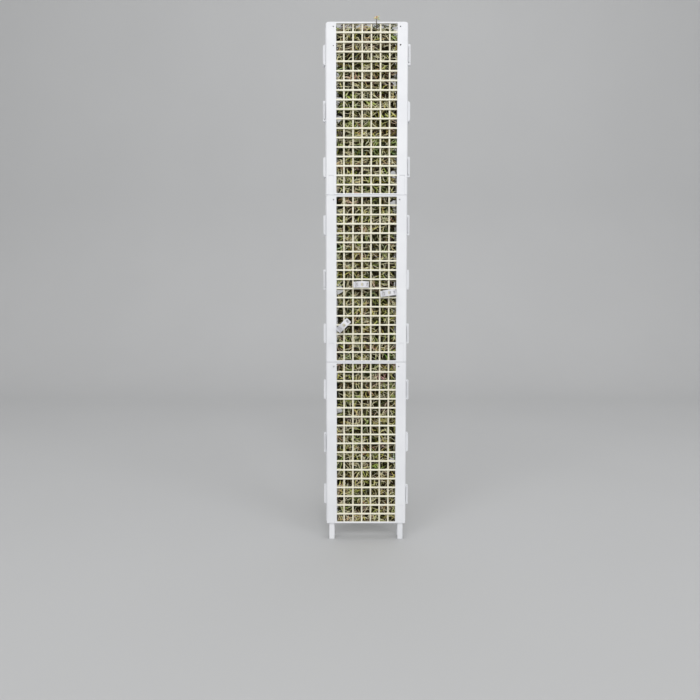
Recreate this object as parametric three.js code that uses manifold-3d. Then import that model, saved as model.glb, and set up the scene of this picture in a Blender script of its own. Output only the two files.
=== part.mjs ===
// Stackable plant climbing frame: three modules, one on top of another. Each module is two identical
// halves, clipped together around a core of moss, and a half is a frame with a grid panel set into it.
// The top module has rounder upper corners. Three ring clips hold on to the middle grid.
// Millimetres, +Z up. The grid faces look along -Y and +Y, and the lowest tongue tips stand on Z = 0.
import * as THREE from 'three';
import { mergeVertices } from 'three/addons/utils/BufferGeometryUtils.js';
import Module from 'manifold-3d';

const wasm = await Module();
wasm.setup();

// One module, over its faces
const MODULE_HEIGHT = 160;
const FACE_WIDTH = 78.4;

// Grid panel: horizontal bars make its outer layer, and vertical bars and two end strips its inner one.
// The borders lap over the outer columns, so those holes are a little narrower.
const COLUMNS = 7;
const ROWS = 18;
const BAR_WIDTH = 1.55;
const EDGE_LAP = 0.73;
const PANEL_LAP = 0.6;
const PANEL_CLEARANCE = 0.15;

// Frame: a shallow tray with a window for the panel, and a narrow flange where the two halves meet.
const BORDER = 10.38;
const RIM = 1.5;
const FACE_THICKNESS = 2.0;
const HALF_DEPTH = 7.5;
const WALL = 1.2;
const WALL_DRAFT = 0.3;
const EDGE_RADIUS = 1.3;
const CORNER_RADIUS = 0.8;
const TOP_CORNER_RADIUS = 4.0;
const FLANGE_WIDTH = 0.4;
const FLANGE_THICKNESS = 1.5;
const PARTING_GAP = 0.3;

// Snap latches on the long sides: a loop on one half takes a blade on the other.
const LATCHES_PER_SIDE = 3;
const LATCH_PITCH = 52.5;
const LATCH_LENGTH = 19.6;
const LOOP_DEPTH = 2.2;
const LOOP_WALL = 0.8;
const EAR_DEPTH = 1.8;
const EAR_RADIUS = 2.6;
const BLADE_LENGTH = 15;
const BLADE_THICKNESS = 0.8;
const BEAD_HEIGHT = 0.2;
const BEAD_LENGTH = 1.0;
const LATCH_CLEARANCE = 0.2;

// Tongues below each frame slip into pockets at the top of the frame underneath.
const TONGUE_WIDTH = 5.2;
const TONGUE_THICKNESS = 1.4;
const TONGUE_LENGTH = 17;
const TONGUE_ROOT = 18.5;
const TONGUE_LEAD = 0.35;
const TONGUE_INSET = 1.25;
const TONGUE_CLEARANCE = 0.25;
const POCKET_WALL = 1.0;
const POCKET_DROP = 1.2;
const RECESS_DEPTH = 0.5;
const SEAM_GAP = 0.3;

// Moss core
const MOSS_CLEARANCE = 0.3;
const MOSS_CORNER = 2.5;

// Ring clips
const CLIP_WALL = 1.5;
const HOOK_HEIGHT = 4.6;
const GATE_HEIGHT = 6.0;
const GATE_WINDOWS = 3;
const WINDOW_WIDTH = 2.6;
const WINDOW_HEIGHT = 2.8;
const CLIP_TAB = 1.5;
const CLIP_TAB_THICKNESS = 0.9;
const CLIP_SPLIT = 0.3;
const CLIP_SIDE_CLEARANCE = 1.0;
const CLIP_FRONT_CLEARANCE = 1.35;
const CLIP_BAR_CLEARANCE = 0.3;

// Each clip holds on to one vertical bar, counted from the left, and one horizontal bar, counted from
// the bottom of the middle module: it sits on that bar, or goes round the crossing of the two.
// Its turn is in degrees, and a negative one lifts the hinge's end.
const CLIPS = [
  { name: 'clip_a', column: 3, row: 8, turn: 0, crossing: false },
  { name: 'clip_b', column: 6, row: 7, turn: -8, crossing: false },
  { name: 'clip_c', column: 1, row: 4, turn: -45, crossing: true },
];

// Modules, from the bottom up
const MODULES = ['bottom', 'middle', 'top'];
const CLIP_MODULE = 1;

// Sizes that follow from the ones above
const MODULE_PITCH = MODULE_HEIGHT + SEAM_GAP;
const GRID_WIDTH = FACE_WIDTH - 2 * BORDER;
const GRID_HEIGHT = MODULE_HEIGHT - 2 * RIM;
const COLUMN_PITCH = (GRID_WIDTH + 2 * EDGE_LAP + BAR_WIDTH) / COLUMNS;
const ROW_PITCH = (GRID_HEIGHT + BAR_WIDTH) / ROWS;
const FACE_HALF_WIDTH = FACE_WIDTH / 2;
const FLANGE_HALF_WIDTH = FACE_HALF_WIDTH + FLANGE_WIDTH;
const INNER_HALF_WIDTH = FACE_HALF_WIDTH - WALL - WALL_DRAFT;
const PARTING_Y = -PARTING_GAP / 2;
const FACE_Y = PARTING_Y - HALF_DEPTH;
const FACE_BACK_Y = FACE_Y + FACE_THICKNESS;
const LAYER_Y = FACE_Y + FACE_THICKNESS / 2;
const FLANGE_Y = PARTING_Y - FLANGE_THICKNESS;

const SLOT_WIDTH = BLADE_THICKNESS + BEAD_HEIGHT + 2 * LATCH_CLEARANCE;
const SLOT_LENGTH = BLADE_LENGTH + 2 * LATCH_CLEARANCE;
const LATCH_HALF_WIDTH = FLANGE_HALF_WIDTH + SLOT_WIDTH + LOOP_WALL;

const TONGUE_OUTER = INNER_HALF_WIDTH - TONGUE_INSET;
const TONGUE_INNER = TONGUE_OUTER - TONGUE_WIDTH;
const TONGUE_FRONT_Y = FACE_BACK_Y + TONGUE_CLEARANCE;
const TONGUE_BACK_Y = TONGUE_FRONT_Y + TONGUE_THICKNESS;
const POCKET_BACK_Y = TONGUE_BACK_Y + TONGUE_CLEARANCE;
const POCKET_RIB_OUTER = TONGUE_INNER - TONGUE_CLEARANCE;
const POCKET_RIB_INNER = POCKET_RIB_OUTER - POCKET_WALL;
const POCKET_LENGTH = TONGUE_LENGTH + 2 * TONGUE_CLEARANCE;

const MOSS_HALF_WIDTH = POCKET_RIB_INNER - MOSS_CLEARANCE;
const MOSS_HALF_DEPTH = -FACE_BACK_Y - MOSS_CLEARANCE;

const CLIP_RADIUS = COLUMN_PITCH - BAR_WIDTH / 2 - CLIP_SIDE_CLEARANCE;
const CLIP_BORE_RADIUS = CLIP_RADIUS - CLIP_WALL;
const CLIP_Y = FACE_Y - CLIP_FRONT_CLEARANCE;

// Solids overlap by this much where they are joined, so that no thin seam is left.
const JOIN = 0.4;
const ARC_STEPS = 1;
const CORNER_STEPS = 3;
const RING_STEPS = 4;
const MERGE_DISTANCE = 1e-4;

const X_AXIS = new THREE.Vector3(1, 0, 0);
const Y_AXIS = new THREE.Vector3(0, 1, 0);
const Z_AXIS = new THREE.Vector3(0, 0, 1);

const plastic = () => new THREE.MeshStandardMaterial({ color: 0xf0f1f5, roughness: 0.42, metalness: 0 });
const panelPlastic = () => new THREE.MeshStandardMaterial({ color: 0xefebde, roughness: 0.5, metalness: 0 });
const clipPlastic = () => new THREE.MeshStandardMaterial({ color: 0xe6e6ee, roughness: 0.35, metalness: 0 });
const moss = () => new THREE.MeshStandardMaterial({ color: 0x65634a, roughness: 0.95, metalness: 0 });

// Solids and geometry

/** Makes a solid that can be joined and cut out of a closed geometry. */
function solidOf(geometry) {
  geometry.deleteAttribute('normal');
  geometry.deleteAttribute('uv');
  const merged = mergeVertices(geometry, MERGE_DISTANCE);
  return new wasm.Manifold(new wasm.Mesh({
    numProp: 3,
    vertProperties: merged.attributes.position.array,
    triVerts: new Uint32Array(merged.index.array),
  }));
}

/** Makes a geometry out of a finished solid. */
function geometryOf(solid) {
  const mesh = solid.getMesh();
  const geometry = new THREE.BufferGeometry();
  geometry.setAttribute('position', new THREE.BufferAttribute(mesh.vertProperties, 3));
  geometry.setIndex(new THREE.BufferAttribute(mesh.triVerts, 1));
  return geometry;
}

/** Joins a list of solids into one. */
function join(solids) {
  return solids.reduce((whole, solid) => whole.add(solid));
}

/** A closed outline through a list of [u, v] corners. */
function outline(corners) {
  return new THREE.Shape(corners.map(([u, v]) => new THREE.Vector2(u, v)));
}

/** Extrudes an outline, with its u and v along two axes, over a span of the third axis. */
function extrude(shape, span, uAxis, vAxis, steps = ARC_STEPS) {
  const wAxis = new THREE.Vector3().crossVectors(uAxis, vAxis);
  const forward = wAxis.dot(new THREE.Vector3(1, 1, 1)) > 0;
  const geometry = new THREE.ExtrudeGeometry(shape, {
    depth: span[1] - span[0],
    bevelEnabled: false,
    curveSegments: steps,
  });
  geometry.translate(0, 0, forward ? span[0] : -span[1]);
  geometry.applyMatrix4(new THREE.Matrix4().makeBasis(uAxis, vAxis, wAxis));
  return solidOf(geometry);
}

const alongX = (shape, span) => extrude(shape, span, Y_AXIS, Z_AXIS);
const alongY = (shape, span, steps) => extrude(shape, span, X_AXIS, Z_AXIS, steps);
const alongZ = (shape, span, steps) => extrude(shape, span, X_AXIS, Y_AXIS, steps);

/** A box over spans of X, Y and Z. */
function box(xSpan, ySpan, zSpan) {
  const size = [xSpan, ySpan, zSpan].map(([low, high]) => high - low);
  const middle = [xSpan, ySpan, zSpan].map(([low, high]) => (low + high) / 2);
  return solidOf(new THREE.BoxGeometry(...size).translate(...middle));
}

/** A span on the right side, or its mirror image on the left side. */
function sided(side, near, far) {
  return side > 0 ? [near, far] : [-far, -near];
}

/** A rectangle with rounded corners: one radius for all four, or another one for the upper two. */
function roundedRectangle([u0, u1], [v0, v1], radius, upper = radius) {
  const shape = new THREE.Shape();
  shape.absarc(u1 - radius, v0 + radius, radius, -Math.PI / 2, 0);
  shape.absarc(u1 - upper, v1 - upper, upper, 0, Math.PI / 2);
  shape.absarc(u0 + upper, v1 - upper, upper, Math.PI / 2, Math.PI);
  shape.absarc(u0 + radius, v0 + radius, radius, Math.PI, 1.5 * Math.PI);
  return shape;
}

// A half is modelled as a front half: its face looks along -Y and its lower end is at Z = 0.

/** Cross-section of the tray: face, drafted side walls and flanges. */
function trayProfile() {
  const faceEdge = FACE_HALF_WIDTH - WALL_DRAFT;
  const arcX = faceEdge - EDGE_RADIUS;
  const arcY = FACE_Y + EDGE_RADIUS;
  const shape = new THREE.Shape();
  shape.absarc(arcX, arcY, EDGE_RADIUS, -Math.PI / 2, 0);
  shape.lineTo(FACE_HALF_WIDTH, FLANGE_Y);
  shape.lineTo(FLANGE_HALF_WIDTH, FLANGE_Y);
  shape.lineTo(FLANGE_HALF_WIDTH, PARTING_Y);
  shape.lineTo(FACE_HALF_WIDTH - WALL, PARTING_Y);
  shape.lineTo(INNER_HALF_WIDTH, FACE_BACK_Y);
  shape.lineTo(-INNER_HALF_WIDTH, FACE_BACK_Y);
  shape.lineTo(WALL - FACE_HALF_WIDTH, PARTING_Y);
  shape.lineTo(-FLANGE_HALF_WIDTH, PARTING_Y);
  shape.lineTo(-FLANGE_HALF_WIDTH, FLANGE_Y);
  shape.lineTo(-FACE_HALF_WIDTH, FLANGE_Y);
  shape.absarc(-arcX, arcY, EDGE_RADIUS, Math.PI, 1.5 * Math.PI);
  return shape;
}

/** A block over the grid's width, and over its height with a margin at both ends. */
function gridBlock(margin, ySpan) {
  return box([-GRID_WIDTH / 2, GRID_WIDTH / 2], ySpan, [RIM - margin, RIM + GRID_HEIGHT + margin]);
}

/** The tray with rounded corners, a window for the grid and a rebate behind it for the panel's ends. */
function tray(upperRadius) {
  const ends = roundedRectangle(
    [-FLANGE_HALF_WIDTH, FLANGE_HALF_WIDTH], [0, MODULE_HEIGHT], CORNER_RADIUS, upperRadius,
  );
  const window = gridBlock(0, [FACE_Y - JOIN, FACE_BACK_Y + JOIN]);
  const rebate = gridBlock(PANEL_LAP + PANEL_CLEARANCE, [LAYER_Y - PANEL_CLEARANCE, FACE_BACK_Y + JOIN]);
  return alongZ(trayProfile(), [0, MODULE_HEIGHT])
    .intersect(alongY(ends, [FACE_Y - JOIN, 0], CORNER_STEPS))
    .subtract(window)
    .subtract(rebate);
}

/** The lower edge of a horizontal bar, counted from the bottom of the grid. */
function barZ(row) {
  return RIM + row * ROW_PITCH - BAR_WIDTH;
}

/** The left edge of a vertical bar, counted from the left of the grid. */
function barX(column) {
  return column * COLUMN_PITCH - GRID_WIDTH / 2 - EDGE_LAP - BAR_WIDTH;
}

/** The grid panel: vertical bars between two end strips, and horizontal bars in front of them. */
function gridPanel() {
  const xSpan = [PANEL_CLEARANCE - GRID_WIDTH / 2, GRID_WIDTH / 2 - PANEL_CLEARANCE];
  const inner = [LAYER_Y, FACE_BACK_Y];
  const outer = [FACE_Y, LAYER_Y];
  const top = RIM + GRID_HEIGHT;
  const ends = [RIM - PANEL_LAP, top + PANEL_LAP];
  const solids = [box(xSpan, inner, [ends[0], RIM]), box(xSpan, inner, [top, ends[1]])];
  for (let column = 1; column < COLUMNS; column += 1) {
    const x = barX(column);
    solids.push(box([x, x + BAR_WIDTH], inner, ends));
  }
  for (let row = 1; row < ROWS; row += 1) {
    const z = barZ(row);
    solids.push(box(xSpan, outer, [z, z + BAR_WIDTH]));
  }
  return join(solids);
}

/** A loop that stands out of the side wall, with a slot for the other half's blade. */
function latchLoop(side, z) {
  const body = box(
    sided(side, FACE_HALF_WIDTH - WALL / 2, LATCH_HALF_WIDTH),
    [PARTING_Y - LOOP_DEPTH, PARTING_Y],
    [z - LATCH_LENGTH / 2, z + LATCH_LENGTH / 2],
  );
  const slot = box(
    sided(side, FLANGE_HALF_WIDTH, FLANGE_HALF_WIDTH + SLOT_WIDTH),
    [PARTING_Y - LOOP_DEPTH - JOIN, PARTING_Y + JOIN],
    [z - SLOT_LENGTH / 2, z + SLOT_LENGTH / 2],
  );
  return body.subtract(slot);
}

/** An ear with rounded outer corners, and the beaded blade that reaches into the other half's loop. */
function latchBlade(side, z) {
  const ySpan = [PARTING_Y - EAR_DEPTH, PARTING_Y];
  const zSpan = [z - LATCH_LENGTH / 2, z + LATCH_LENGTH / 2];
  const strap = roundedRectangle([-LATCH_HALF_WIDTH, LATCH_HALF_WIDTH], zSpan, EAR_RADIUS);
  const reach = box(sided(side, FACE_HALF_WIDTH - WALL / 2, LATCH_HALF_WIDTH + JOIN), ySpan, zSpan);
  const ear = alongY(strap, ySpan).intersect(reach);

  const inner = FLANGE_HALF_WIDTH + LATCH_CLEARANCE;
  const outer = inner + BLADE_THICKNESS;
  const beadY = -PARTING_Y + LOOP_DEPTH + LATCH_CLEARANCE;
  const tipY = beadY + BEAD_LENGTH;
  const blade = outline([
    [side * inner, PARTING_Y - JOIN],
    [side * outer, PARTING_Y - JOIN],
    [side * outer, beadY],
    [side * (outer + BEAD_HEIGHT), beadY],
    [side * (outer + BEAD_HEIGHT), (beadY + tipY) / 2],
    [side * (outer - BEAD_HEIGHT), tipY],
    [side * inner, tipY],
  ]);
  return ear.add(alongZ(blade, [z - BLADE_LENGTH / 2, z + BLADE_LENGTH / 2]));
}

/** Latches on both sides: blades and loops take turns, and the two sides are opposite. */
function latches() {
  const solids = [];
  const lowest = (MODULE_HEIGHT - (LATCHES_PER_SIDE - 1) * LATCH_PITCH) / 2;
  for (let place = 0; place < LATCHES_PER_SIDE; place += 1) {
    const z = lowest + place * LATCH_PITCH;
    const bladeSide = place % 2 === 0 ? -1 : 1;
    solids.push(latchBlade(bladeSide, z), latchLoop(-bladeSide, z));
  }
  return solids;
}

/** A tongue that starts on the back of the border and steps in before it leaves the lower end. */
function tongue(side) {
  const profile = outline([
    [FACE_BACK_Y - JOIN, 0],
    [TONGUE_FRONT_Y, 0],
    [TONGUE_FRONT_Y, TONGUE_LEAD - TONGUE_LENGTH],
    [TONGUE_FRONT_Y + TONGUE_LEAD, -TONGUE_LENGTH],
    [TONGUE_BACK_Y - TONGUE_LEAD, -TONGUE_LENGTH],
    [TONGUE_BACK_Y, TONGUE_LEAD - TONGUE_LENGTH],
    [TONGUE_BACK_Y, TONGUE_ROOT - TONGUE_THICKNESS],
    [FACE_BACK_Y, TONGUE_ROOT],
    [FACE_BACK_Y - JOIN, TONGUE_ROOT],
  ]);
  return alongX(profile, sided(side, TONGUE_INNER, TONGUE_OUTER));
}

/** A rib and a back wall that make a pocket behind the border, open above, just below the upper end. */
function pocket(side) {
  const wall = INNER_HALF_WIDTH + JOIN;
  const backWall = POCKET_BACK_Y + POCKET_WALL;
  const profile = outline([
    [side * POCKET_RIB_INNER, FACE_BACK_Y - JOIN],
    [side * POCKET_RIB_OUTER, FACE_BACK_Y - JOIN],
    [side * POCKET_RIB_OUTER, POCKET_BACK_Y],
    [side * wall, POCKET_BACK_Y],
    [side * wall, backWall],
    [side * POCKET_RIB_INNER, backWall],
  ]);
  return alongZ(profile, [MODULE_HEIGHT - POCKET_LENGTH, MODULE_HEIGHT - POCKET_DROP]);
}

/** A shallow recess in the border, in front of a tongue's root. */
function recess(side) {
  return box(
    sided(side, TONGUE_INNER, TONGUE_OUTER),
    [FACE_Y - JOIN, FACE_Y + RECESS_DEPTH],
    [-JOIN, TONGUE_ROOT],
  );
}

/** The whole frame of a half, with a given round at its upper corners. */
function halfFrame(upperRadius) {
  const sides = [-1, 1];
  const body = join([tray(upperRadius), ...latches(), ...sides.map(tongue), ...sides.map(pocket)]);
  return sides.map(recess).reduce((cut, shape) => cut.subtract(shape), body);
}

// Moss core

/** The moss that fills a module, with its front and back against the grids. */
function mossCore() {
  const section = roundedRectangle(
    [-MOSS_HALF_WIDTH, MOSS_HALF_WIDTH], [-MOSS_HALF_DEPTH, MOSS_HALF_DEPTH], MOSS_CORNER,
  );
  return alongZ(section, [MOSS_CLEARANCE, MODULE_HEIGHT - MOSS_CLEARANCE]);
}

// Ring clips. A clip is modelled with its bore on Z: the hook is on the +Y side and the gate on the -Y side.

/** Half of a ring, on the +Y or the -Y side of the split. */
function halfRing(side, height) {
  const shape = new THREE.Shape();
  const y = side * CLIP_SPLIT / 2;
  const start = side > 0 ? 0 : Math.PI;
  shape.absarc(0, y, CLIP_RADIUS, start, start + Math.PI, false);
  shape.absarc(0, y, CLIP_BORE_RADIUS, start + Math.PI, start, true);
  return alongZ(shape, [-height / 2, height / 2], RING_STEPS);
}

/** A finger tab beside the split, at the end away from the hinge. */
function clipTab(side, height) {
  const near = CLIP_SPLIT / 2;
  return box(
    sided(-1, CLIP_BORE_RADIUS + CLIP_WALL / 2, CLIP_RADIUS + CLIP_TAB),
    sided(side, near, near + CLIP_TAB_THICKNESS),
    [-height / 2, height / 2],
  );
}

/** The half that goes through the grid and round the back of a bar. */
function clipHook() {
  return halfRing(1, HOOK_HEIGHT).add(clipTab(1, HOOK_HEIGHT));
}

/** The half that swings open, with windows round its band. */
function clipGate() {
  let gate = halfRing(-1, GATE_HEIGHT).add(clipTab(-1, GATE_HEIGHT));
  for (let place = 0; place < GATE_WINDOWS; place += 1) {
    const angle = -Math.PI * (place + 1) / (GATE_WINDOWS + 1);
    const window = new THREE.BoxGeometry(2 * CLIP_RADIUS, WINDOW_WIDTH, WINDOW_HEIGHT);
    window.translate(CLIP_RADIUS, 0, 0).rotateZ(angle);
    gate = gate.subtract(solidOf(window));
  }
  return gate;
}

/** Where a clip sits: with its lowest corner just above a bar, or round the crossing of two bars. */
function clipMatrix({ column, row, turn, crossing }) {
  const angle = THREE.MathUtils.degToRad(turn);
  const barMiddle = BAR_WIDTH / 2;
  const x = barX(column) + barMiddle;
  const reach = Math.cos(angle) * HOOK_HEIGHT / 2 + Math.abs(Math.sin(angle)) * CLIP_RADIUS;
  const seat = BAR_WIDTH + CLIP_BAR_CLEARANCE + reach;
  const z = barZ(row) + (crossing ? barMiddle : seat);
  return new THREE.Matrix4().makeRotationY(angle).setPosition(x, CLIP_Y, z);
}

/** The hollow that a clip's hook presses into the moss. */
function clipHollow(clip) {
  const shape = new THREE.Shape();
  shape.absarc(0, CLIP_SPLIT / 2, CLIP_RADIUS + CLIP_BAR_CLEARANCE, 0, 2 * Math.PI);
  const half = HOOK_HEIGHT / 2 + CLIP_BAR_CLEARANCE;
  return alongZ(shape, [-half, half], 2 * RING_STEPS).transform(clipMatrix(clip).elements);
}

// Assembly

/** A named mesh with a material of its own. */
function piece(name, solid, material) {
  const mesh = new THREE.Mesh(geometryOf(solid), material);
  mesh.name = name;
  return mesh;
}

/** One clip in its place: hook and gate. */
function clipGroup(clip) {
  const group = new THREE.Group();
  group.add(piece(`${clip.name}_hook`, clipHook(), clipPlastic()));
  group.add(piece(`${clip.name}_gate`, clipGate(), clipPlastic()));
  group.applyMatrix4(clipMatrix(clip));
  return group;
}

/** One half: a frame with its grid panel. */
function halfGroup(name, frame, panel) {
  const group = new THREE.Group();
  group.add(piece(`${name}_frame`, frame, plastic()), piece(`${name}_grid`, panel, panelPlastic()));
  return group;
}

/** One module: two halves face to face, with moss between them and clips on its front if it has any. */
function moduleGroup(name, frame, panel, clips) {
  const group = new THREE.Group();
  const front = halfGroup(`${name}_front`, frame, panel);
  const back = halfGroup(`${name}_back`, frame, panel);
  back.rotation.z = Math.PI;
  const core = clips.map(clipHollow).reduce((cut, hollow) => cut.subtract(hollow), mossCore());
  group.add(front, back, piece(`${name}_moss_core`, core, moss()));
  clips.forEach((clip) => group.add(clipGroup(clip)));
  return group;
}

/** The whole climbing frame, standing on the tongues of its bottom module. */
function climbingFrame() {
  const stack = new THREE.Group();
  const panel = gridPanel();
  MODULES.forEach((name, place) => {
    const last = place === MODULES.length - 1;
    const frame = halfFrame(last ? TOP_CORNER_RADIUS : CORNER_RADIUS);
    const stacked = moduleGroup(name, frame, panel, place === CLIP_MODULE ? CLIPS : []);
    stacked.position.z = TONGUE_LENGTH + place * MODULE_PITCH;
    stack.add(stacked);
  });
  return stack;
}

export default climbingFrame();
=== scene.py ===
"""Looks of a stackable plant climbing frame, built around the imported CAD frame.

Three modules stand on one another. A module is two moulded halves, each a frame and a grid panel,
clipped together around a fill of moss, and three ring clips hold on to the middle grid. Shapes are
worked out in millimetres and go into the meshes in metres.
"""

import logging
import math
from dataclasses import dataclass, field
from enum import Enum

import bmesh
import bpy
import numpy as np
from mathutils import Matrix, Vector


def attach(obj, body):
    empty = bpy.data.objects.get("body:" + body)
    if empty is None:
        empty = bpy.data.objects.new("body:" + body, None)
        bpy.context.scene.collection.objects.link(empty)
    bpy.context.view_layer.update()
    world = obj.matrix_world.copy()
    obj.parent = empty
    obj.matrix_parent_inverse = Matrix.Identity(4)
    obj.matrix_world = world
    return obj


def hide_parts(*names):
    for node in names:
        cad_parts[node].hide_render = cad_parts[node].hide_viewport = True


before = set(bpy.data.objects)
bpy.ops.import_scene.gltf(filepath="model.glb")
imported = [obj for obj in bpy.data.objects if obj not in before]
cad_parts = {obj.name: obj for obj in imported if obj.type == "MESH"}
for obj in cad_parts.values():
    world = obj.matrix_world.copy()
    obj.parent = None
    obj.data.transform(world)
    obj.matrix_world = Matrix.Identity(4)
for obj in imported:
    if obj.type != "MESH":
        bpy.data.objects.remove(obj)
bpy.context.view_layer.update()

MM = 0.001
TINY = 1e-9
ROUND_STEPS = 4
CREASE_DEG = 32.0
TINT_LAYER = "tint"

UPRIGHT = np.eye(3)
BOTH_SIDES = np.stack([UPRIGHT, np.diag([-1.0, 1.0, 1.0])])
IN_PLACE = np.zeros((1, 3))

Array = np.ndarray
Colour = tuple[float, float, float]
Span = tuple[float, float]
Mesh = bpy.types.Mesh
Material = bpy.types.Material
log = logging.getLogger("climbing_frame")


class Axis(Enum):
    """Direction that an outline is carried along, as the axes of its u, its v and the way along."""

    X = (1, 2, 0)
    Y = (0, 2, 1)
    Z = (0, 1, 2)

    def turn(self, degrees: float) -> Array:
        """The 3 by 3 matrix of a turn about the axis, from its u towards its v.

        Args:
            degrees: How far to turn.

        Returns:
            The matrix, for columns of X, Y and Z.
        """
        c, s = math.cos(math.radians(degrees)), math.sin(math.radians(degrees))
        u, v, _ = self.value
        matrix = np.eye(3)
        matrix[[u, u, v, v], [u, v, u, v]] = c, -s, s, c
        return matrix


class Fuse(Enum):
    """How a shell goes onto the ones before it."""

    ADD = "UNION"
    CUT = "DIFFERENCE"
    KEEP = "INTERSECT"


class Face(Enum):
    """Front or back half of a module, with the sign that turns the front into it."""

    FRONT = 1.0
    BACK = -1.0

    @property
    def word(self) -> str:
        """Name of the face in node and body names."""
        return self.name.lower()

    @property
    def matrix(self) -> Array:
        """The turn about Z that makes a front half into this one."""
        return np.diag([self.value, self.value, 1.0])


# Shapes


@dataclass
class Shell:
    """Closed surfaces in millimetres: points, four-sided faces, and caps with any number of sides."""

    points: Array
    quads: Array
    caps: list[Array]

    @staticmethod
    def lofted(points: Array) -> "Shell":
        """Surfaces through rings of points that follow one another, closed by a cap at both ends.

        Args:
            points: Positions, as surfaces by rings by points by X, Y and Z.

        Returns:
            All the surfaces as one shell.
        """
        here = np.arange(points[..., 0].size).reshape(points.shape[:3])
        there = np.roll(here, -1, axis=2)
        quads = np.stack([here[:, :-1], there[:, :-1], there[:, 1:], here[:, 1:]], axis=-1)
        caps = np.vstack([here[:, 0, ::-1], here[:, -1]])
        return Shell(points.reshape(-1, 3), quads.reshape(-1, 4), list(caps))

    @staticmethod
    def joined(shells: list["Shell"]) -> "Shell":
        """Several shells, which don't touch, as one.

        Args:
            shells: The shells, in order.

        Returns:
            One shell that holds them all.
        """
        starts = np.cumsum([0] + [len(shell.points) for shell in shells[:-1]])
        pairs = list(zip(shells, starts))
        return Shell(
            np.vstack([shell.points for shell in shells]),
            np.vstack([shell.quads + start for shell, start in pairs]),
            [cap + start for shell, start in pairs for cap in shell.caps],
        )

    def spread(self, turns: Array = UPRIGHT, offsets: Array = IN_PLACE) -> "Shell":
        """Copies of the shell, each turned or mirrored and then moved.

        Args:
            turns: A 3 by 3 matrix for all the copies, or one for each.
            offsets: One row of X, Y and Z for all the copies, or one for each.

        Returns:
            All the copies as one shell.
        """
        points = self.points @ np.swapaxes(turns, -1, -2) + offsets[:, None]
        starts = np.arange(len(points)) * len(self.points)
        quads = (starts[:, None, None] + self.quads).reshape(-1, 4)
        caps = [cap + start for start in starts for cap in self.caps]
        return Shell(points.reshape(-1, 3), quads, caps)

    def mesh(self, name: str) -> Mesh:
        """A mesh of the shell in metres, with its faces turned outwards.

        Args:
            name: Name of the mesh.

        Returns:
            The mesh.
        """
        mesh = bpy.data.meshes.new(name)
        faces = self.quads.tolist() + [cap.tolist() for cap in self.caps]
        mesh.from_pydata((self.points * MM).tolist(), [], faces)
        work = bmesh.new()
        work.from_mesh(mesh)
        bmesh.ops.recalc_face_normals(work, faces=work.faces)
        work.to_mesh(mesh)
        work.free()
        return mesh


def unit(vectors: Array) -> Array:
    """Vectors along the last axis, brought to a length of one."""
    return vectors / np.maximum(np.linalg.norm(vectors, axis=-1, keepdims=True), TINY)


def centred(length: float) -> Span:
    """A span of a given length about zero."""
    return (-length / 2, length / 2)


def rectangle(u_span: Span, v_span: Span) -> Array:
    """The four corners of a rectangle, anticlockwise from the lowest."""
    (u0, u1), (v0, v1) = u_span, v_span
    return np.array([[u0, v0], [u1, v0], [u1, v1], [u0, v1]], float)


def trapezoid(low_half: float, high_half: float, v_span: Span) -> Array:
    """The corners of a trapezoid, from half its width at its lower and at its upper side."""
    low, high = v_span
    return np.array([[-low_half, low], [low_half, low], [high_half, high], [-high_half, high]])


def rounded(corners: Array, radii: float | list[float], steps: int = ROUND_STEPS) -> Array:
    """A closed outline with an arc at each corner, tangent to the two sides that meet there.

    An arc's centre is on the corner's bisector, r / sin(half angle) from the corner. Its points are
    the centre + r (across sin t - bisector cos t), with t from -a to a and a = 90 degrees - half angle.

    Args:
        corners: One row of u and v for each corner.
        radii: One radius for all the corners, or one for each.
        steps: Straight steps in each arc.

    Returns:
        One row of u and v for each point of the outline.
    """
    back = unit(np.roll(corners, 1, axis=0) - corners)
    ahead = unit(np.roll(corners, -1, axis=0) - corners)
    bisector = unit(back + ahead)
    half = np.arccos(np.clip((back * ahead).sum(1), -1, 1)) / 2
    across = np.stack([-bisector[:, 1], bisector[:, 0]], axis=1)
    across *= np.sign((across * ahead).sum(1))[:, None]
    radius = np.broadcast_to(np.asarray(radii, float), half.shape)
    centre = corners + bisector * (radius / np.sin(half))[:, None]
    turn = np.linspace(-1, 1, steps + 1) * (math.pi / 2 - half)[:, None]
    spokes = np.sin(turn)[..., None] * across[:, None] - np.cos(turn)[..., None] * bisector[:, None]
    return (centre[:, None] + radius[:, None, None] * spokes).reshape(-1, 2)


def outward(outline: Array) -> Array:
    """Vectors that let a closed outline out evenly by one millimetre.

    At a point where sides with normals a and b meet, the vector is (a + b) / (1 + a . b).

    Args:
        outline: One row of u and v for each point.

    Returns:
        One row of u and v for each point's vector.
    """
    ahead = np.roll(outline, -1, axis=0)
    step = unit(ahead - outline)
    way_round = np.sign((outline[:, 0] * ahead[:, 1] - ahead[:, 0] * outline[:, 1]).sum())
    normal = np.stack([step[:, 1], -step[:, 0]], axis=1) * way_round
    earlier = np.roll(normal, 1, axis=0)
    return (earlier + normal) / (1 + (earlier * normal).sum(1))[:, None]


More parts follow.
